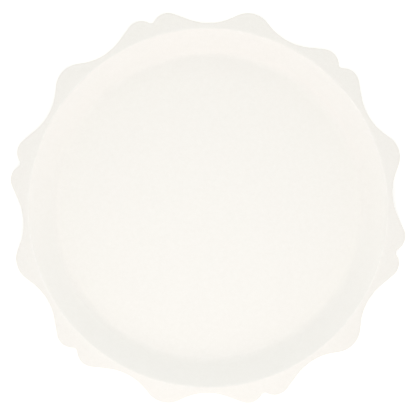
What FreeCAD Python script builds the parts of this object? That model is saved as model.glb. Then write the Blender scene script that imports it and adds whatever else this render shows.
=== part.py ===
import FreeCAD, Part
import math
import os

import Sketcher

# A disposable dinner plate, pressed from a single sheet of coated paperboard.
# A flat round floor rises through a cove into a conical wall. The wall turns over
# a tight shoulder, the crease, into a rim that droops slightly outward. The rim is
# die-cut into lobes: six single lobes, and between them six pairs of twin lobes.
#
# Frame, in millimetres: the origin is the centre of the floor's underside, +Z is up
# along the axis of the plate, and +X passes through the top of one single lobe.

DRIVING_SIZES = (
    ("plate_diameter", 270.0, "across two opposite single lobes"),
    ("lobe_groups", 6, "times that one single lobe and one pair of twin lobes repeat"),
    ("lobe_height", 9.7, "from the root of a valley to the top of a lobe"),
    ("rim_land", 4.0, "width of the rim at its narrowest, from crease to valley"),
    ("well_depth", 15.2, "from the floor up to the crease"),
    ("wall_angle", 42.0, "slope of the wall, degrees from level"),
    ("rim_droop", 7.0, "slope of the rim, degrees below level"),
    ("cove_radius", 9.0, "inside bend between floor and wall"),
    ("shoulder_radius", 1.6, "outside bend between wall and rim"),
    ("board_thickness", 0.5, "paperboard, the same all over"),
    ("single_lobe_radius", 17.0, "rounded top of a single lobe"),
    ("single_flank", 4.0, "straight side of a single lobe"),
    ("twin_lobe_radius", 10.7, "rounded top of each twin lobe"),
    ("twin_flank", 11.2, "straight outer side of a twin lobe"),
    ("twin_spacing", 18.8, "between the centres of two twin lobes"),
    ("notch_radius", 2.8, "rounded bottom of the notch between two twin lobes"),
    ("trim_margin", 3.0, "waste ring of the blank outside the lobes"),
)
SIZE = {alias: value for alias, value, meaning in DRIVING_SIZES}

PLATE_RADIUS = "Sizes.plate_diameter / 2"
ROOT_RADIUS = PLATE_RADIUS + " - Sizes.lobe_height"
CREASE_RADIUS = ROOT_RADIUS + " - Sizes.rim_land"
BLANK_RADIUS = PLATE_RADIUS + " + Sizes.trim_margin"
CUTTER_RADIUS = BLANK_RADIUS + " + Sizes.trim_margin"

# Sketcher's numbers for the points of an element, and for the sketch's own origin.
START = 1
END = 2
CENTRE = 3
X_AXIS = -1
ORIGIN = (-1, 1)

UP = FreeCAD.Vector(0, 0, 1)


def add_size_sheet(doc):
    """Put every driving size into the sheet, one row each, with its alias."""
    sheet = doc.addObject("Spreadsheet::Sheet", "Sizes")
    for row, (alias, value, meaning) in enumerate(DRIVING_SIZES, start=1):
        sheet.set(f"A{row}", alias)
        sheet.set(f"B{row}", str(value))
        sheet.set(f"C{row}", meaning)
        sheet.setAlias(f"B{row}", alias)
    doc.recompute()


def add_sketch(body, name, plane_role):
    """Make a sketch that lies on one of the body's own origin planes."""
    sketch = body.newObject("Sketcher::SketchObject", name)
    plane = next(item for item in body.Origin.OriginFeatures if item.Role == plane_role)
    sketch.AttachmentSupport = [(plane, "")]
    sketch.MapMode = "FlatFace"
    return sketch


def point(x, y):
    return FreeCAD.Vector(x, y, 0)


def polar(distance, angle):
    return point(distance * math.cos(angle), distance * math.sin(angle))


def add_line(sketch, start, end):
    return sketch.addGeometry(Part.LineSegment(start, end), False)


def add_arc(sketch, centre, radius, start_angle, end_angle):
    """Add an arc that runs counterclockwise between two angles."""
    circle = Part.Circle(centre, UP, radius)
    return sketch.addGeometry(Part.ArcOfCircle(circle, start_angle, end_angle), False)


def constrain(sketch, kind, *where):
    sketch.addConstraint(Sketcher.Constraint(kind, *where))


def dimension(sketch, name, formula, kind, *where):
    """Add a dimension and bind it to the sheet; its first value is that of the drawing."""
    index = sketch.addConstraint(Sketcher.Constraint(kind, *where))
    sketch.renameConstraint(index, name)
    sketch.setExpression("Constraints." + name, formula)


def draw_skin(sketch, offset):
    """Draw one face of the board in section, offset inward from the food side.

    Returns its elements by name. The bends keep their centres whatever the offset,
    so the board has one thickness all the way from the floor to the rim.
    """
    wall = math.radians(SIZE["wall_angle"])
    droop = math.radians(SIZE["rim_droop"])
    crease_radius = SIZE["plate_diameter"] / 2 - SIZE["lobe_height"] - SIZE["rim_land"]
    crease = point(crease_radius, SIZE["board_thickness"] + SIZE["well_depth"])
    corner = crease - point(SIZE["well_depth"] / math.tan(wall), SIZE["well_depth"])

    cove_setback = SIZE["cove_radius"] * math.tan(wall / 2)
    cove_centre = corner + point(-cove_setback, SIZE["cove_radius"])
    cove_radius = SIZE["cove_radius"] + offset
    floor_end = cove_centre - point(0, cove_radius)
    wall_start = cove_centre + polar(cove_radius, wall - math.pi / 2)

    shoulder_setback = SIZE["shoulder_radius"] * math.tan((wall + droop) / 2)
    tangent_point = crease - polar(shoulder_setback, wall)
    shoulder_centre = tangent_point + polar(SIZE["shoulder_radius"], wall - math.pi / 2)
    shoulder_radius = SIZE["shoulder_radius"] - offset
    wall_end = shoulder_centre + polar(shoulder_radius, wall + math.pi / 2)
    rim_start = shoulder_centre + polar(shoulder_radius, math.pi / 2 - droop)
    rim_run = SIZE["plate_diameter"] / 2 + SIZE["trim_margin"] - rim_start.x
    rim_end = rim_start + point(rim_run, -rim_run * math.tan(droop))

    skin = {}
    skin["floor"] = add_line(sketch, point(0, floor_end.y), floor_end)
    skin["cove"] = add_arc(sketch, cove_centre, cove_radius, -math.pi / 2, wall - math.pi / 2)
    skin["wall"] = add_line(sketch, wall_start, wall_end)
    skin["shoulder"] = add_arc(
        sketch, shoulder_centre, shoulder_radius, math.pi / 2 - droop, math.pi / 2 + wall)
    skin["rim"] = add_line(sketch, rim_start, rim_end)

    constrain(sketch, "Horizontal", skin["floor"])
    constrain(sketch, "Tangent", skin["floor"], END, skin["cove"], START)
    constrain(sketch, "Tangent", skin["cove"], END, skin["wall"], START)
    constrain(sketch, "Tangent", skin["wall"], END, skin["shoulder"], END)
    constrain(sketch, "Tangent", skin["shoulder"], START, skin["rim"], START)
    return skin


def draw_section(sketch):
    """Draw the half section of the pressed board, from the axis to the blank's edge."""
    top = draw_skin(sketch, 0.0)
    under = draw_skin(sketch, SIZE["board_thickness"])

    axis_top = sketch.getPoint(top["floor"], START)
    edge_top = sketch.getPoint(top["rim"], END)
    edge_under = sketch.getPoint(under["rim"], END)
    axis_line = add_line(sketch, point(0, 0), axis_top)
    edge_line = add_line(sketch, edge_under, edge_top)
    constrain(sketch, "Coincident", under["floor"], START, *ORIGIN)
    constrain(sketch, "Coincident", axis_line, START, *ORIGIN)
    constrain(sketch, "Coincident", axis_line, END, top["floor"], START)
    constrain(sketch, "Vertical", axis_line)
    constrain(sketch, "Coincident", edge_line, START, under["rim"], END)
    constrain(sketch, "Coincident", edge_line, END, top["rim"], END)
    constrain(sketch, "Vertical", edge_line)

    constrain(sketch, "Coincident", top["cove"], CENTRE, under["cove"], CENTRE)
    constrain(sketch, "Coincident", top["shoulder"], CENTRE, under["shoulder"], CENTRE)
    constrain(sketch, "Parallel", top["wall"], under["wall"])
    constrain(sketch, "Parallel", top["rim"], under["rim"])

    # The crease is the sharp corner that the wall and the rim would make without their bend.
    crease_height = SIZE["board_thickness"] + SIZE["well_depth"]
    crease_radius = SIZE["plate_diameter"] / 2 - SIZE["lobe_height"] - SIZE["rim_land"]
    crease = sketch.addGeometry(Part.Point(point(crease_radius, crease_height)), True)
    constrain(sketch, "PointOnObject", crease, START, top["wall"])
    constrain(sketch, "PointOnObject", crease, START, top["rim"])

    wall = math.radians(SIZE["wall_angle"])
    droop = math.radians(SIZE["rim_droop"])
    blank_radius = SIZE["plate_diameter"] / 2 + SIZE["trim_margin"]
    dimension(sketch, "thickness", "Sizes.board_thickness",
              "DistanceY", *ORIGIN, top["floor"], START, SIZE["board_thickness"])
    dimension(sketch, "cove", "Sizes.cove_radius",
              "Radius", top["cove"], SIZE["cove_radius"])
    dimension(sketch, "shoulder", "Sizes.shoulder_radius",
              "Radius", top["shoulder"], SIZE["shoulder_radius"])
    dimension(sketch, "wall_slope", "Sizes.wall_angle * 1 deg",
              "Angle", top["wall"], wall)
    dimension(sketch, "rim_slope", "-Sizes.rim_droop * 1 deg",
              "Angle", top["rim"], -droop)
    dimension(sketch, "crease_radius", CREASE_RADIUS,
              "DistanceX", *ORIGIN, crease, START, crease_radius)
    dimension(sketch, "crease_height", "Sizes.board_thickness + Sizes.well_depth",
              "DistanceY", *ORIGIN, crease, START, crease_height)
    dimension(sketch, "blank_radius", BLANK_RADIUS,
              "DistanceX", *ORIGIN, top["rim"], END, blank_radius)


def press_plate(body):
    """Revolve the section into the pressed plate, still with its round waste ring."""
    section = add_sketch(body, "BoardSection", "XZ_Plane")
    draw_section(section)
    pressed = body.newObject("PartDesign::Revolution", "PressedBoard")
    pressed.Profile = section
    pressed.ReferenceAxis = (section, ["V_Axis"])
    pressed.Angle = 360
    section.Visibility = False
    return pressed


def heading(start, end):
    """Angle of the direction from one point to another."""
    step = end - start
    return math.atan2(step.y, step.x)


def flank_lean(start, start_radius, end, end_radius):
    """Angle between a line of centres and the normal of the flank that crosses it."""
    reach = (start_radius + end_radius) / start.distanceToPoint(end)
    return math.acos(min(reach, 1.0))


def draw_half_repeat(sketch):
    """Draw the waste beside half a single lobe, a valley and one twin lobe.

    The stretch runs from the middle of a single lobe, on the X axis, to the notch
    between two twin lobes. The valley is drawn near its place, and then the two
    flank lengths and the root circle settle its radius and its centre.
    """
    plate_radius = SIZE["plate_diameter"] / 2
    root_radius = plate_radius - SIZE["lobe_height"]
    cutter_radius = plate_radius + 2 * SIZE["trim_margin"]
    single_radius = SIZE["single_lobe_radius"]
    twin_radius = SIZE["twin_lobe_radius"]
    notch_radius = SIZE["notch_radius"]
    half_spacing = SIZE["twin_spacing"] / 2
    half_repeat = math.pi / SIZE["lobe_groups"]

    single_reach = plate_radius - single_radius
    single_centre = point(single_reach, 0)
    twin_reach = plate_radius - twin_radius
    twin_angle = half_repeat - math.asin(half_spacing / twin_reach)
    twin_centre = polar(twin_reach, twin_angle)

    valley_angle = twin_angle / 2
    swing = 2 * single_reach * math.cos(valley_angle)
    surplus = (root_radius ** 2 + single_reach ** 2
               - single_radius ** 2 - SIZE["single_flank"] ** 2 - swing * root_radius)
    valley_radius = surplus / (swing - 2 * (root_radius - single_radius))
    valley_centre = polar(root_radius + valley_radius, valley_angle)

    notch_reach = (math.sqrt(twin_reach ** 2 - half_spacing ** 2)
                   + math.sqrt((twin_radius + notch_radius) ** 2 - half_spacing ** 2))
    notch_centre = polar(notch_reach, half_repeat)

    single_end = (heading(single_centre, valley_centre)
                  - flank_lean(single_centre, single_radius, valley_centre, valley_radius))
    twin_start = (heading(valley_centre, twin_centre) - math.pi
                  + flank_lean(valley_centre, valley_radius, twin_centre, twin_radius))
    twin_end = heading(twin_centre, notch_centre)

    single = add_arc(sketch, single_centre, single_radius, 0.0, single_end)
    valley = add_arc(sketch, valley_centre, valley_radius,
                     twin_start + math.pi, single_end + math.pi)
    twin = add_arc(sketch, twin_centre, twin_radius, twin_start, twin_end)
    notch = add_arc(sketch, notch_centre, notch_radius,
                    half_repeat + math.pi, twin_end + math.pi)
    cutter_edge = add_arc(sketch, point(0, 0), cutter_radius, 0.0, half_repeat)
    single_flank = add_line(sketch, sketch.getPoint(single, END), sketch.getPoint(valley, END))
    twin_flank = add_line(sketch, sketch.getPoint(valley, START), sketch.getPoint(twin, START))
    notch_side = add_line(sketch, sketch.getPoint(notch, START), polar(cutter_radius, half_repeat))
    single_side = add_line(sketch, point(plate_radius, 0), point(cutter_radius, 0))
    root_circle = sketch.addGeometry(Part.Circle(point(0, 0), UP, root_radius), True)

    constrain(sketch, "Tangent", single, END, single_flank, START)
    constrain(sketch, "Tangent", single_flank, END, valley, END)
    constrain(sketch, "Tangent", valley, START, twin_flank, START)
    constrain(sketch, "Tangent", twin_flank, END, twin, START)
    constrain(sketch, "Tangent", twin, END, notch, END)
    constrain(sketch, "Coincident", notch, START, notch_side, START)
    constrain(sketch, "Coincident", notch_side, END, cutter_edge, END)
    constrain(sketch, "Coincident", cutter_edge, START, single_side, END)
    constrain(sketch, "Coincident", single_side, START, single, START)

    constrain(sketch, "PointOnObject", single, CENTRE, X_AXIS)
    constrain(sketch, "PointOnObject", single, START, X_AXIS)
    constrain(sketch, "PointOnObject", single_side, END, X_AXIS)
    constrain(sketch, "PointOnObject", notch, CENTRE, notch_side)
    constrain(sketch, "PointOnObject", *ORIGIN, notch_side)
    constrain(sketch, "Coincident", cutter_edge, CENTRE, *ORIGIN)
    constrain(sketch, "Coincident", root_circle, CENTRE, *ORIGIN)
    constrain(sketch, "Tangent", root_circle, valley)

    dimension(sketch, "repeat_angle", "180 deg / Sizes.lobe_groups",
              "Angle", notch_side, half_repeat)
    dimension(sketch, "cutter_radius", CUTTER_RADIUS,
              "Radius", cutter_edge, cutter_radius)
    dimension(sketch, "root_radius", ROOT_RADIUS,
              "Radius", root_circle, root_radius)
    dimension(sketch, "single_radius", "Sizes.single_lobe_radius",
              "Radius", single, single_radius)
    dimension(sketch, "single_reach", PLATE_RADIUS + " - Sizes.single_lobe_radius",
              "DistanceX", *ORIGIN, single, CENTRE, single_reach)
    dimension(sketch, "single_flank", "Sizes.single_flank",
              "Distance", single_flank, SIZE["single_flank"])
    dimension(sketch, "twin_radius", "Sizes.twin_lobe_radius",
              "Radius", twin, twin_radius)
    dimension(sketch, "twin_reach", PLATE_RADIUS + " - Sizes.twin_lobe_radius",
              "Distance", *ORIGIN, twin, CENTRE, twin_reach)
    dimension(sketch, "twin_offset", "Sizes.twin_spacing / 2",
              "Distance", twin, CENTRE, notch_side, half_spacing)
    dimension(sketch, "twin_flank", "Sizes.twin_flank",
              "Distance", twin_flank, SIZE["twin_flank"])
    dimension(sketch, "notch_radius", "Sizes.notch_radius",
              "Radius", notch, notch_radius)


def cut_lobes(doc, body):
    """Cut the waste away: half a repeat, mirrored, then turned round the plate."""
    outline = add_sketch(body, "HalfRepeat", "XY_Plane")
    draw_half_repeat(outline)
    half_cut = body.newObject("PartDesign::Pocket", "HalfRepeatCut")
    half_cut.Profile = outline
    half_cut.Type = "ThroughAll"
    half_cut.Reversed = True
    outline.Visibility = False

    mirror = doc.addObject("PartDesign::Mirrored", "OtherHalf")
    mirror.MirrorPlane = (outline, ["H_Axis"])
    ring = doc.addObject("PartDesign::PolarPattern", "AroundPlate")
    ring.Axis = (outline, ["N_Axis"])
    ring.Angle = 360
    ring.setExpression("Occurrences", "Sizes.lobe_groups")
    lobes = body.newObject("PartDesign::MultiTransform", "Lobes")
    lobes.Originals = [half_cut]
    lobes.Transformations = [mirror, ring]
    body.Tip = lobes
    return half_cut, lobes


def check_document(doc, bodies):
    """Stop if any object failed, any sketch is loose, or any body isn't one sound solid."""
    for item in doc.Objects:
        if "Invalid" in item.State or "Error" in item.State:
            raise RuntimeError(f"{item.Label} failed: {item.State}")
        if item.TypeId == "Sketcher::SketchObject" and not item.FullyConstrained:
            raise RuntimeError(f"{item.Label} isn't fully constrained")
    for body in bodies:
        if body.Shape.isNull() or not body.Shape.isValid() or len(body.Shape.Solids) != 1:
            raise RuntimeError(f"{body.Label} isn't one valid solid")


def export_parts(bodies):
    os.makedirs("parts", exist_ok=True)
    for body in bodies:
        body.Shape.exportStep(os.path.join("parts", body.Label + ".step"))


def main():
    doc = FreeCAD.newDocument("ScallopedPlate")
    add_size_sheet(doc)
    plate = doc.addObject("PartDesign::Body", "Plate")
    plate.Label = "plate"
    pressed = press_plate(plate)
    half_cut, lobes = cut_lobes(doc, plate)
    plate.Placement = FreeCAD.Placement()
    doc.recompute()
    check_document(doc, [plate])

    half_waste = pressed.Shape.Volume - half_cut.Shape.Volume
    waste = pressed.Shape.Volume - lobes.Shape.Volume
    half_repeats = 2 * SIZE["lobe_groups"]
    if half_waste <= 0 or not math.isclose(waste, half_repeats * half_waste, rel_tol=1e-3):
        raise RuntimeError(f"cut {waste:.1f} mm3, expected {half_repeats * half_waste:.1f}")
    export_parts([plate])

    box = plate.Shape.BoundBox
    print(f"plate: {box.XLength:.2f} x {box.YLength:.2f} x {box.ZLength:.2f} mm, "
          f"volume {plate.Shape.Volume:.0f} mm3, {len(plate.Shape.Faces)} faces")


main()
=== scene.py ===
import math

import bpy
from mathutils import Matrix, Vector, noise


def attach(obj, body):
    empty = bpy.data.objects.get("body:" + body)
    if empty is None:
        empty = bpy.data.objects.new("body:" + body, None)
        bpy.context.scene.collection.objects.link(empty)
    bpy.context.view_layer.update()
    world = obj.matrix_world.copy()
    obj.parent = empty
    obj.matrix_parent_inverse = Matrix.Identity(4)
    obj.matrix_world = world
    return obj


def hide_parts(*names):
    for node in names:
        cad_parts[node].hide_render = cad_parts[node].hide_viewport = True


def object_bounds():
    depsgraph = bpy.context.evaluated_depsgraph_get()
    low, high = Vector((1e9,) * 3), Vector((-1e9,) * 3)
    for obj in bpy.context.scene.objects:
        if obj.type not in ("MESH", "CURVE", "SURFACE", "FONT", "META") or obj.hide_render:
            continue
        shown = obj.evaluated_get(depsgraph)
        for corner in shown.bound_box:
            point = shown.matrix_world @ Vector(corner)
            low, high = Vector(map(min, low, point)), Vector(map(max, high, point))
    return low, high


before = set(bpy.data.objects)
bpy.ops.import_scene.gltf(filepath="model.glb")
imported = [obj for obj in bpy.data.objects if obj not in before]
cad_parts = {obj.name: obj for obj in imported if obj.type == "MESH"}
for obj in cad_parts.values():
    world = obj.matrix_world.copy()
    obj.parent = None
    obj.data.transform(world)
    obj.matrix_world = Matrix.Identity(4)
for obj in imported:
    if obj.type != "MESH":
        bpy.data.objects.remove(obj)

# A scalloped paper plate, pressed from one sheet of coated board. The CAD node gives its
# place and its size, and this script makes its surfaces: the food side with its satin
# coating, the bare fibrous underside, and the raw edge that the cutting die leaves.

CAD_LOW, CAD_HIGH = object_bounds()
MM = 0.001

# ---------------------------------------------------------------- the board's own sizes
# The CAD's box is that of flat facets, so the finer outline here keeps a hair inside it.
HAIR = 0.02 * MM
PLATE_RADIUS = CAD_HIGH.x - HAIR
FLOOR_UNDERSIDE = CAD_LOW.z
THICKNESS = 0.5 * MM
WELL_DEPTH = 15.2 * MM
WALL_ANGLE = math.radians(42)
RIM_DROOP = math.radians(7)
COVE_RADIUS = 9.0 * MM
SHOULDER_RADIUS = 1.6 * MM

# ---------------------------------------------------------------- the scalloped outline
LOBE_GROUPS = 6
LOBE_HEIGHT = 9.7 * MM
RIM_LAND = 4.0 * MM
SINGLE_LOBE_RADIUS = 17.0 * MM
SINGLE_FLANK = 4.0 * MM
TWIN_LOBE_RADIUS = 10.7 * MM
TWIN_FLANK = 11.2 * MM
TWIN_SPACING = 18.8 * MM
NOTCH_RADIUS = 2.8 * MM

ROOT_RADIUS = PLATE_RADIUS - LOBE_HEIGHT
CREASE_RADIUS = ROOT_RADIUS - RIM_LAND
HALF_REPEAT = math.pi / LOBE_GROUPS

# ---------------------------------------------------------------- mesh resolution
HALF_REPEAT_STEPS = 60
SPOKES = 2 * LOBE_GROUPS * HALF_REPEAT_STEPS
COVE_STEPS = 10
WALL_STEPS = 7
SHOULDER_STEPS = 9
RIM_STEPS = 8
FLOOR_CELL = 3.4 * MM
NARROWEST_CELL = 0.3 * FLOOR_CELL
FEWEST_SPOKES = 45
TURN_WEIGHT = 9.0 * MM
EDGE_BREAK = 0.07 * MM
SHARP_ANGLE = math.radians(30)
VALLEY_HALVINGS = 60

# ---------------------------------------------------------------- how flat real board lies
BOARD_WAVE = 0.05 * MM
BOARD_WAVE_LENGTH = 24 * MM
RIM_SAG = 0.22 * MM
RIM_SAG_LENGTH = 60 * MM

FOOD_SIDE = 0
UNDERSIDE = 1
CUT_EDGE = 2


# ================================================================ outline

def polar(radius, angle):
    return Vector((radius * math.cos(angle), radius * math.sin(angle)))


def heading(start, end):
    step = end - start
    return math.atan2(step.y, step.x)


def valley_radius(reach, lobe_radius, flank, lean):
    """Radius of the valley that meets a lobe across a straight flank.

    reach is the distance of the lobe's centre from the axis, and lean is the angle
    between the lobe's and the valley's centres.
    """
    swing = 2 * reach * math.cos(lean)
    constant = ROOT_RADIUS ** 2 + reach ** 2 - lobe_radius ** 2 - flank ** 2
    return (swing * ROOT_RADIUS - constant) / (2 * (ROOT_RADIUS - lobe_radius) - swing)


def narrowest_lean(reach, lobe_radius, flank):
    """The angle between lobe and valley at which the valley's radius comes down to nothing."""
    constant = ROOT_RADIUS ** 2 + reach ** 2 - lobe_radius ** 2 - flank ** 2
    return math.acos(constant / (2 * reach * ROOT_RADIUS))


def settle_valley(single, twin, twin_angle):
    """The valley between a single lobe and a twin lobe: its centre's angle and its radius.

    single and twin are (reach, lobe radius, flank). Halving the range settles the angle
    at which both flanks ask for the same valley.
    """
    low = narrowest_lean(*single)
    high = twin_angle - narrowest_lean(*twin)
    for _ in range(VALLEY_HALVINGS):
        middle = (low + high) / 2
        if valley_radius(*single, middle) < valley_radius(*twin, twin_angle - middle):
            low = middle
        else:
            high = middle
    return middle, valley_radius(*single, middle)


def flank_lean(start, start_radius, end, end_radius):
    """Angle between a line of centres and the normal of the flank that crosses it."""
    return math.acos((start_radius + end_radius) / (end - start).length)


def arc_piece(centre, radius, start_angle, end_angle):
    """A stretch of the outline: its length, its turn, and its points from 0 to 1."""
    turn = abs(end_angle - start_angle)

    def at(share):
        return centre + polar(radius, start_angle + (end_angle - start_angle) * share)
    return radius * turn, turn, at


def line_piece(start, end):
    return (end - start).length, 0.0, lambda share: start.lerp(end, share)


def half_repeat_pieces():
    """The outline from the top of a single lobe to the bottom of the notch."""
    single_reach = PLATE_RADIUS - SINGLE_LOBE_RADIUS
    twin_reach = PLATE_RADIUS - TWIN_LOBE_RADIUS
    half_spacing = TWIN_SPACING / 2
    twin_angle = HALF_REPEAT - math.asin(half_spacing / twin_reach)
    valley_angle, hollow = settle_valley(
        (single_reach, SINGLE_LOBE_RADIUS, SINGLE_FLANK),
        (twin_reach, TWIN_LOBE_RADIUS, TWIN_FLANK), twin_angle)
    notch_reach = (math.sqrt(twin_reach ** 2 - half_spacing ** 2)
                   + math.sqrt((TWIN_LOBE_RADIUS + NOTCH_RADIUS) ** 2 - half_spacing ** 2))

    single = polar(single_reach, 0.0)
    valley = polar(ROOT_RADIUS + hollow, valley_angle)
    twin = polar(twin_reach, twin_angle)
    notch = polar(notch_reach, HALF_REPEAT)
    single_end = (heading(single, valley)
                  - flank_lean(single, SINGLE_LOBE_RADIUS, valley, hollow))
    twin_start = (heading(valley, twin) - math.pi
                  + flank_lean(valley, hollow, twin, TWIN_LOBE_RADIUS))
    twin_end = heading(twin, notch)

    first_flank = (single + polar(SINGLE_LOBE_RADIUS, single_end),
                   valley + polar(hollow, single_end + math.pi))
    second_flank = (valley + polar(hollow, twin_start + math.pi),
                    twin + polar(TWIN_LOBE_RADIUS, twin_start))
    return [
        arc_piece(single, SINGLE_LOBE_RADIUS, 0.0, single_end),
        line_piece(*first_flank),
        arc_piece(valley, hollow, single_end + math.pi, twin_start + math.pi),
        line_piece(*second_flank),
        arc_piece(twin, TWIN_LOBE_RADIUS, twin_start, twin_end),
        arc_piece(notch, NOTCH_RADIUS, twin_end + math.pi, HALF_REPEAT + math.pi),
    ]


def half_repeat_points():
    """Points along half a repeat, closer together where the outline turns sharply."""
    pieces = half_repeat_pieces()
    weights = [length + TURN_WEIGHT * turn for length, turn, at in pieces]
    points = []
    for step in range(HALF_REPEAT_STEPS + 1):
        along = sum(weights) * step / HALF_REPEAT_STEPS
        index = 0
        while index < len(pieces) - 1 and along > weights[index]:
            along -= weights[index]
            index += 1
        points.append(pieces[index][2](min(along / weights[index], 1.0)))
    return points


def outline_points():
    """The whole outline, counterclockwise, one point for each spoke of the mesh."""
    half = [(point.length, math.atan2(point.y, point.x)) for point in half_repeat_points()]
    points = []
    for group in range(LOBE_GROUPS):
        single_axis = 2 * group * HALF_REPEAT
        next_axis = single_axis + 2 * HALF_REPEAT
        points += [polar(radius, single_axis + angle) for radius, angle in half[:-1]]
        points += [polar(radius, next_axis - angle) for radius, angle in reversed(half[1:])]
    return points


# ================================================================ section

def board_section():
    """(radius, height, slope) along the food side, from the floor's end to the rim's start."""
    floor_top = FLOOR_UNDERSIDE + THICKNESS
    crease = Vector((CREASE_RADIUS, floor_top + WELL_DEPTH))
    corner_radius = CREASE_RADIUS - WELL_DEPTH / math.tan(WALL_ANGLE)
    cove_start = corner_radius - COVE_RADIUS * math.tan(WALL_ANGLE / 2)
    cove = Vector((cove_start, floor_top + COVE_RADIUS))
    setback = SHOULDER_RADIUS * math.tan((WALL_ANGLE + RIM_DROOP) / 2)
    shoulder = (crease - polar(setback, WALL_ANGLE)
                + polar(SHOULDER_RADIUS, WALL_ANGLE - math.pi / 2))

    section = []
    for step in range(COVE_STEPS + 1):
        slope = WALL_ANGLE * step / COVE_STEPS
        section.append((*(cove + polar(COVE_RADIUS, slope - math.pi / 2)), slope))
    wall_start = cove + polar(COVE_RADIUS, WALL_ANGLE - math.pi / 2)
    wall_end = shoulder + polar(SHOULDER_RADIUS, WALL_ANGLE + math.pi / 2)
    for step in range(1, WALL_STEPS):
        section.append((*wall_start.lerp(wall_end, step / WALL_STEPS), WALL_ANGLE))
    for step in range(SHOULDER_STEPS + 1):
        slope = WALL_ANGLE - (WALL_ANGLE + RIM_DROOP) * step / SHOULDER_STEPS
        section.append((*(shoulder + polar(SHOULDER_RADIUS, slope + math.pi / 2)), slope))
    return section


# ================================================================ plate mesh

class PlateMesh:
    """Collects the vertices and faces of the plate, skin by skin."""

    def __init__(self):
        self.vertices = []
        self.faces = []
        self.surfaces = []

    def ring(self, points):
        first = len(self.vertices)
        self.vertices.extend(points)
        return list(range(first, first + len(points)))

    def face(self, corners, surface, flip):
        self.faces.append(tuple(reversed(corners)) if flip else tuple(corners))
        self.surfaces.append(surface)

    def join(self, inner, outer, surface, flip=False):
        """Join two rings, of the same count or with half as many points in the inner one."""
        ratio = len(outer) // len(inner)
        for index in range(len(inner)):
            a, b = inner[index], inner[(index + 1) % len(inner)]
            if ratio == 1:
                self.face((a, outer[index], outer[(index + 1) % len(outer)], b), surface, flip)
                continue
            c, d, e = (outer[(2 * index + step) % len(outer)] for step in range(3))
            self.face((a, c, d), surface, flip)
            self.face((a, d, b), surface, flip)
            self.face((b, d, e), surface, flip)

    def fan(self, centre, ring, surface, flip=False):
        for index in range(len(ring)):
            self.face((centre, ring[index], ring[(index + 1) % len(ring)]), surface, flip)


def smooth_noise(place):
    """Noise from 0 to 1, at a place measured in wave lengths."""
    return 0.5 + 0.5 * max(-1.0, min(1.0, noise.noise(place)))


def board_wave(x, y):
    """How far the pressed board lies below its ideal surface, from nothing to BOARD_WAVE."""
    return BOARD_WAVE * smooth_noise(Vector((x, y, 0.0)) / BOARD_WAVE_LENGTH)


def rim_sag(x, y, share):
    """How far the free edge of the rim hangs below its cone. share is 0 at the crease."""
    place = Vector((x, y, RIM_SAG_LENGTH)) / RIM_SAG_LENGTH
    return RIM_SAG * share ** 2 * smooth_noise(place)


def circle(radius, height, spokes, depth, slope):
    """One ring of a surface of revolution, sunk below the food side by depth."""
    points = []
    reach = radius + depth * math.sin(slope)
    level = height - depth * math.cos(slope)
    for index in range(spokes):
        x, y = polar(reach, 2 * math.pi * index / spokes)
        points.append(Vector((x, y, max(level - board_wave(x, y), FLOOR_UNDERSIDE))))
    return points


def floor_rings(floor_end):
    """(radius, spokes) from the middle out, with cells of about the same size."""
    rings = []
    count = round(floor_end / FLOOR_CELL)
    for index in range(1, count):
        radius = floor_end * index / count
        spokes = SPOKES
        while spokes > FEWEST_SPOKES and 2 * math.pi * radius / spokes < NARROWEST_CELL:
            spokes //= 2
        rings.append((radius, spokes))
    return rings


def rim_rings(outline, start_radius, start_height, depth):
    """Rings from the shoulder out to the cut edge, on the rim's cone."""
    rings = []
    drop = depth / math.cos(RIM_DROOP)
    inner_radius = start_radius - depth * math.sin(RIM_DROOP)
    for step in range(1, RIM_STEPS + 1):
        share = step / RIM_STEPS
        points = []
        for index, edge in enumerate(outline):
            start = polar(inner_radius, 2 * math.pi * index / SPOKES)
            x, y = start.lerp(edge, share)
            fall = (math.hypot(x, y) - start_radius) * math.tan(RIM_DROOP)
            sunk = board_wave(x, y) + rim_sag(x, y, share)
            points.append(Vector((x, y, start_height - fall - drop - sunk)))
        rings.append(points)
    return rings


def inset(outline, distance):
    """The outline moved inward by a small distance, square to itself."""
    moved = []
    for index, point in enumerate(outline):
        along = outline[(index + 1) % SPOKES] - outline[index - 1]
        moved.append(point - Vector((along.y, -along.x)).normalized() * distance)
    return moved


def add_skin(mesh, outline, depth, surface, flip):
    """One whole face of the board, from its middle to its edge. Returns its last ring."""
    section = board_section()
    floor_height = section[0][1]
    rings = [circle(radius, floor_height, spokes, depth, 0.0)
             for radius, spokes in floor_rings(section[0][0])]
    rings += [circle(radius, height, SPOKES, depth, slope) for radius, height, slope in section]
    rings += rim_rings(outline, section[-1][0], section[-1][1], depth)
    centre = mesh.ring([Vector((0, 0, rings[0][0].z))])[0]
    inner = mesh.ring(rings[0])
    mesh.fan(centre, inner, surface, flip)
    for points in rings[1:]:
        outer = mesh.ring(points)
        mesh.join(inner, outer, surface, flip)
        inner = outer
    return inner


def add_cut_edge(mesh, outline, top_ring, under_ring):
    """The die-cut edge: square to the table, with its two corners broken."""
    top = [Vector((*edge, mesh.vertices[index].z - EDGE_BREAK))
           for edge, index in zip(outline, top_ring)]
    under = [Vector((*edge, mesh.vertices[index].z + EDGE_BREAK))
             for edge, index in zip(outline, under_ring)]
    top = mesh.ring(top)
    under = mesh.ring(under)
    mesh.join(top_ring, top, CUT_EDGE)
    mesh.join(top, under, CUT_EDGE)
    mesh.join(under, under_ring, CUT_EDGE)


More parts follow.
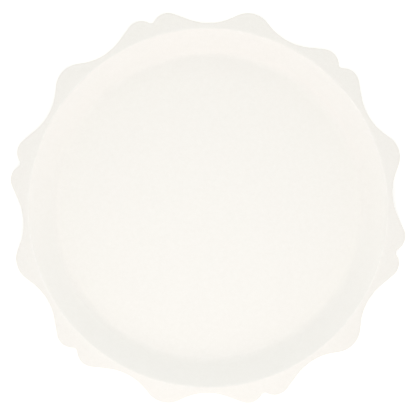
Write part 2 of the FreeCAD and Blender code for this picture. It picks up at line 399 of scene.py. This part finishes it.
def make_plate():
    mesh = PlateMesh()
    outline = outline_points()
    skin_outline = inset(outline, EDGE_BREAK)
    top_ring = add_skin(mesh, skin_outline, 0.0, FOOD_SIDE, False)
    under_ring = add_skin(mesh, skin_outline, THICKNESS, UNDERSIDE, True)
    add_cut_edge(mesh, outline, top_ring, under_ring)

    data = bpy.data.meshes.new("plate_board")
    data.from_pydata(mesh.vertices, [], mesh.faces)
    data.polygons.foreach_set("material_index", mesh.surfaces)
    data.polygons.foreach_set("use_smooth", [True] * len(mesh.faces))
    data.set_sharp_from_angle(angle=SHARP_ANGLE)
    data.update()
    plate = bpy.data.objects.new("plate_board", data)
    bpy.context.scene.collection.objects.link(plate)
    return plate


# ================================================================ materials
FIBRE_LENGTH = 3.5 * MM
FIBRE_TURNS = (0.2, 1.1, 2.0, 2.8)
FIBRE_PEAKS = (0.45, 0.8)

FOOD_SIDE_COLORS = ((0.874, 0.857, 0.819), (0.930, 0.915, 0.884))
UNDERSIDE_COLORS = ((0.80, 0.775, 0.72), (0.885, 0.865, 0.82))
CUT_EDGE_COLORS = ((0.62, 0.60, 0.56), (0.86, 0.845, 0.81))

# How much the shoulder's polish takes off the roughness, and how far each surface's
# texture stands up.
SHOULDER_POLISH = 0.12
FOOD_SIDE_RELIEF = 0.02 * MM
UNDERSIDE_RELIEF = 0.035 * MM
CUT_EDGE_RELIEF = 0.03 * MM


def new_material(name):
    material = bpy.data.materials.new(name)
    material.use_nodes = True
    tree = material.node_tree
    shader = tree.nodes["Principled BSDF"]
    place = tree.nodes.new("ShaderNodeTexCoord").outputs["Object"]
    return material, tree, shader, place


def noise_node(tree, place, size, detail=2.0, roughness=0.5, stretch=(1, 1, 1), turn=0.0):
    """Noise whose features are about size across, stretched along X, Y or Z, then turned."""
    mapping = tree.nodes.new("ShaderNodeMapping")
    mapping.vector_type = "TEXTURE"
    mapping.inputs["Rotation"].default_value = (0, 0, turn)
    mapping.inputs["Scale"].default_value = [size * share for share in stretch]
    texture = tree.nodes.new("ShaderNodeTexNoise")
    texture.inputs["Scale"].default_value = 1.0
    texture.inputs["Detail"].default_value = detail
    texture.inputs["Roughness"].default_value = roughness
    tree.links.new(place, mapping.inputs["Vector"])
    tree.links.new(mapping.outputs["Vector"], texture.inputs["Vector"])
    return texture.outputs["Fac"]


def spread(tree, value, low, high, source=(0.3, 0.7)):
    """Map the source range onto low to high. Unless it is given, it is a noise's usual range."""
    span = tree.nodes.new("ShaderNodeMapRange")
    span.inputs["From Min"].default_value = source[0]
    span.inputs["From Max"].default_value = source[1]
    span.inputs["To Min"].default_value = low
    span.inputs["To Max"].default_value = high
    tree.links.new(value, span.inputs["Value"])
    return span.outputs["Result"]


def combine(tree, operation, first, second):
    """A Math node's result. first and second are sockets or plain numbers."""
    node = tree.nodes.new("ShaderNodeMath")
    node.operation = operation
    for socket, value in zip(node.inputs, (first, second)):
        if isinstance(value, (int, float)):
            socket.default_value = value
        else:
            tree.links.new(value, socket)
    return node.outputs[0]


def blend_colors(tree, share, first, second):
    node = tree.nodes.new("ShaderNodeMix")
    node.data_type = "RGBA"
    tree.links.new(share, node.inputs["Factor"])
    for name, value in (("A", first), ("B", second)):
        socket = next(s for s in node.inputs if s.name == name and s.type == "RGBA")
        if isinstance(value, tuple):
            socket.default_value = (*value, 1)
        else:
            tree.links.new(value, socket)
    return next(s for s in node.outputs if s.type == "RGBA")


def fibre_web(tree, place, width, length):
    """Crossing paper fibres: long thin noise laid in several directions, the highest on top."""
    web = None
    for turn in FIBRE_TURNS:
        layer = noise_node(tree, place, width, 1.0, 0.5, (length / width, 1, 1), turn)
        web = layer if web is None else combine(tree, "MAXIMUM", web, layer)
    return spread(tree, web, 0.0, 1.0, FIBRE_PEAKS)


def distance_from_axis(tree, place):
    """Distance of a place from the plate's axis, whatever its height."""
    flat = tree.nodes.new("ShaderNodeVectorMath")
    flat.operation = "MULTIPLY"
    flat.inputs[1].default_value = (1, 1, 0)
    reach = tree.nodes.new("ShaderNodeVectorMath")
    reach.operation = "LENGTH"
    tree.links.new(place, flat.inputs[0])
    tree.links.new(flat.outputs["Vector"], reach.inputs[0])
    return reach.outputs["Value"]


def shoulder_polish(tree, place):
    """1 along the shoulder, where the die rubs the coating smooth, and 0 away from it."""
    reach = distance_from_axis(tree, place)
    rise = spread(tree, reach, 0.0, 1.0, (CREASE_RADIUS - SHOULDER_RADIUS, CREASE_RADIUS))
    fall = spread(tree, reach, 1.0, 0.0, (CREASE_RADIUS, CREASE_RADIUS + SHOULDER_RADIUS))
    return combine(tree, "MULTIPLY", rise, fall)


def relief(tree, shader, height, depth):
    """Bump of the given depth in metres."""
    bump = tree.nodes.new("ShaderNodeBump")
    bump.inputs["Strength"].default_value = 1.0
    bump.inputs["Distance"].default_value = depth
    tree.links.new(height, bump.inputs["Height"])
    tree.links.new(bump.outputs["Normal"], shader.inputs["Normal"])


def food_side_material():
    """Ivory board under a thin satin film: cloudy, faintly fibrous, softly glossy."""
    material, tree, shader, place = new_material("coated_food_side")
    clouds = noise_node(tree, place, 3 * MM, 4.0, 0.6)
    fibres = fibre_web(tree, place, 0.25 * MM, FIBRE_LENGTH)
    tint = combine(tree, "ADD", spread(tree, clouds, 0.0, 0.25),
                   combine(tree, "MULTIPLY", fibres, 0.75))
    color = blend_colors(tree, tint, *FOOD_SIDE_COLORS)
    tree.links.new(color, shader.inputs["Base Color"])
    gloss = spread(tree, noise_node(tree, place, 5 * MM, 3.0, 0.6), 0.42, 0.54)
    polish = combine(tree, "MULTIPLY", shoulder_polish(tree, place), SHOULDER_POLISH)
    tree.links.new(combine(tree, "SUBTRACT", gloss, polish), shader.inputs["Roughness"])
    shader.inputs["IOR"].default_value = 1.45
    shader.inputs["Coat Weight"].default_value = 0.15
    shader.inputs["Coat Roughness"].default_value = 0.35
    peel = noise_node(tree, place, 1.3 * MM, 2.0, 0.5)
    height = combine(tree, "ADD", combine(tree, "MULTIPLY", fibres, 0.6), peel)
    relief(tree, shader, height, FOOD_SIDE_RELIEF)
    return material


def underside_material():
    """Bare board: matt, a little greyer, with its fibres plain to see."""
    material, tree, shader, place = new_material("bare_underside")
    clouds = noise_node(tree, place, 6 * MM, 5.0, 0.65)
    fibres = fibre_web(tree, place, 0.35 * MM, FIBRE_LENGTH)
    tint = combine(tree, "ADD", spread(tree, clouds, 0.0, 0.5),
                   combine(tree, "MULTIPLY", fibres, 0.5))
    color = blend_colors(tree, tint, *UNDERSIDE_COLORS)
    tree.links.new(color, shader.inputs["Base Color"])
    tree.links.new(spread(tree, clouds, 0.78, 0.92), shader.inputs["Roughness"])
    shader.inputs["IOR"].default_value = 1.4
    relief(tree, shader, fibres, UNDERSIDE_RELIEF)
    return material


def cut_edge_material():
    """The raw edge: plies of pulp, one above the other, with torn fibre ends."""
    material, tree, shader, place = new_material("die_cut_edge")
    plies = noise_node(tree, place, 0.12 * MM, 2.0, 0.6, (60, 60, 1))
    ends = noise_node(tree, place, 0.25 * MM, 3.0, 0.7)
    tint = combine(tree, "MULTIPLY", spread(tree, plies, 0.3, 1.0), spread(tree, ends, 0.5, 1.0))
    color = blend_colors(tree, tint, *CUT_EDGE_COLORS)
    tree.links.new(color, shader.inputs["Base Color"])
    shader.inputs["Roughness"].default_value = 0.9
    relief(tree, shader, combine(tree, "ADD", plies, ends), CUT_EDGE_RELIEF)
    return material


# ================================================================ stage, light and camera
FLOOR_SIZE = 30.0
FLOOR_GAP = 0.05 * MM
FLOOR_GLOW = 0.3
FAR_GLOW = 0.62
POOL_RADIUS = 0.25

# The picture's right-hand side, as an angle in the plate's frame, and how far the camera
# stands off from straight above, towards the top of the picture.
PICTURE_TURN = math.radians(-16.85)
CAMERA_LEAN = math.radians(1.5)
CAMERA_DISTANCE = 2.0
PICTURE_MARGIN = 1.0421
PICTURE_WIDTH = PICTURE_MARGIN * 2 * PLATE_RADIUS

# Soft light comes from all round, up to this height above the horizon, and gives way over
# a few degrees to a dark ceiling, under which the softboxes hang. Below the horizon, where
# the floor hides it, the surroundings are as white as the floor.
SKY_STRENGTH = 0.913
BELOW_HORIZON = 0.4
SKY_COLOR = (0.967, 0.975, 1.0)
SKY_TOP = math.radians(50)
SKY_FADE = math.radians(6)

# Each softbox: azimuth and elevation in degrees, distance and width in metres, power in
# watts, and colour.
COOL_WHITE = (0.935, 0.97, 1.0)
SOFTBOXES = {
    "overhead": (0, 90, 0.8, 0.5, 1.61, COOL_WHITE),
    "key": (-100, 70, 0.5, 0.3, 0.243, COOL_WHITE),
    "front": (-90, 40, 1.2, 0.8, 3.64, (1.0, 0.84, 0.695)),
    "back": (90, 40, 1.2, 0.8, 2.05, (1.0, 0.985, 0.765)),
}


def picture_direction(azimuth, elevation):
    """A direction from the plate. Azimuth counts from the picture's right, counterclockwise."""
    flat = polar(math.cos(math.radians(elevation)), math.radians(azimuth) + PICTURE_TURN)
    return Vector((*flat, math.sin(math.radians(elevation))))


def stage_material():
    """A pale floor with a glow of its own, so that the plate stands on clean white. The glow
    grows outside the softboxes' pool of light, which leaves the floor equally white."""
    material, tree, shader, place = new_material("pale_floor")
    shader.inputs["Base Color"].default_value = (0.95, 0.95, 0.95, 1)
    shader.inputs["Roughness"].default_value = 0.9
    shader.inputs["Specular IOR Level"].default_value = 0.0
    shader.inputs["Emission Color"].default_value = (1, 1, 1, 1)
    reach = distance_from_axis(tree, place)
    glow = spread(tree, reach, FLOOR_GLOW, FAR_GLOW, (POOL_RADIUS, 3 * POOL_RADIUS))
    tree.links.new(glow, shader.inputs["Emission Strength"])
    return material


def add_floor():
    bpy.ops.mesh.primitive_plane_add(size=FLOOR_SIZE, location=(0, 0, FLOOR_UNDERSIDE - FLOOR_GAP))
    floor = bpy.context.active_object
    floor.name = "floor"
    floor.data.materials.append(stage_material())


def add_softbox(name, azimuth, elevation, distance, size, power, color):
    lamp = bpy.data.lights.new(name, "AREA")
    lamp.shape = "DISK"
    lamp.size = size
    lamp.energy = power
    lamp.color = color
    softbox = bpy.data.objects.new(name, lamp)
    direction = picture_direction(azimuth, elevation)
    softbox.location = direction * distance
    softbox.rotation_euler = direction.to_track_quat("Z", "Y").to_euler()
    bpy.context.scene.collection.objects.link(softbox)


def add_sky():
    world = bpy.data.worlds.new("soft_ring")
    world.use_nodes = True
    tree = world.node_tree
    direction = tree.nodes.new("ShaderNodeTexCoord").outputs["Generated"]
    parts = tree.nodes.new("ShaderNodeSeparateXYZ")
    tree.links.new(direction, parts.inputs["Vector"])
    fade_range = (math.sin(SKY_TOP - SKY_FADE), math.sin(SKY_TOP + SKY_FADE))
    ring = spread(tree, parts.outputs["Z"], SKY_STRENGTH, 0.0, fade_range)
    below = combine(tree, "LESS_THAN", parts.outputs["Z"], 0.0)
    strength = combine(tree, "ADD", ring, combine(tree, "MULTIPLY", below, BELOW_HORIZON))
    background = tree.nodes["Background"]
    background.inputs["Color"].default_value = (*SKY_COLOR, 1)
    tree.links.new(strength, background.inputs["Strength"])
    bpy.context.scene.world = world


def add_light():
    add_sky()
    for name, settings in SOFTBOXES.items():
        add_softbox(name, *settings)


def add_camera():
    camera_data = bpy.data.cameras.new("camera")
    camera_data.type = "ORTHO"
    camera_data.ortho_scale = PICTURE_WIDTH
    camera = bpy.data.objects.new("camera", camera_data)
    camera.rotation_euler = (-CAMERA_LEAN, 0, PICTURE_TURN)
    aim = Vector((0, 0, CAD_HIGH.z))
    back = camera.rotation_euler.to_matrix() @ Vector((0, 0, 1))
    camera.location = aim + back * CAMERA_DISTANCE
    bpy.context.scene.collection.objects.link(camera)
    bpy.context.scene.camera = camera
    bpy.context.scene.view_settings.view_transform = "Standard"


plate = make_plate()
for material in (food_side_material(), underside_material(), cut_edge_material()):
    plate.data.materials.append(material)
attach(plate, "root")
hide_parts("plate")
add_floor()
add_light()
add_camera()
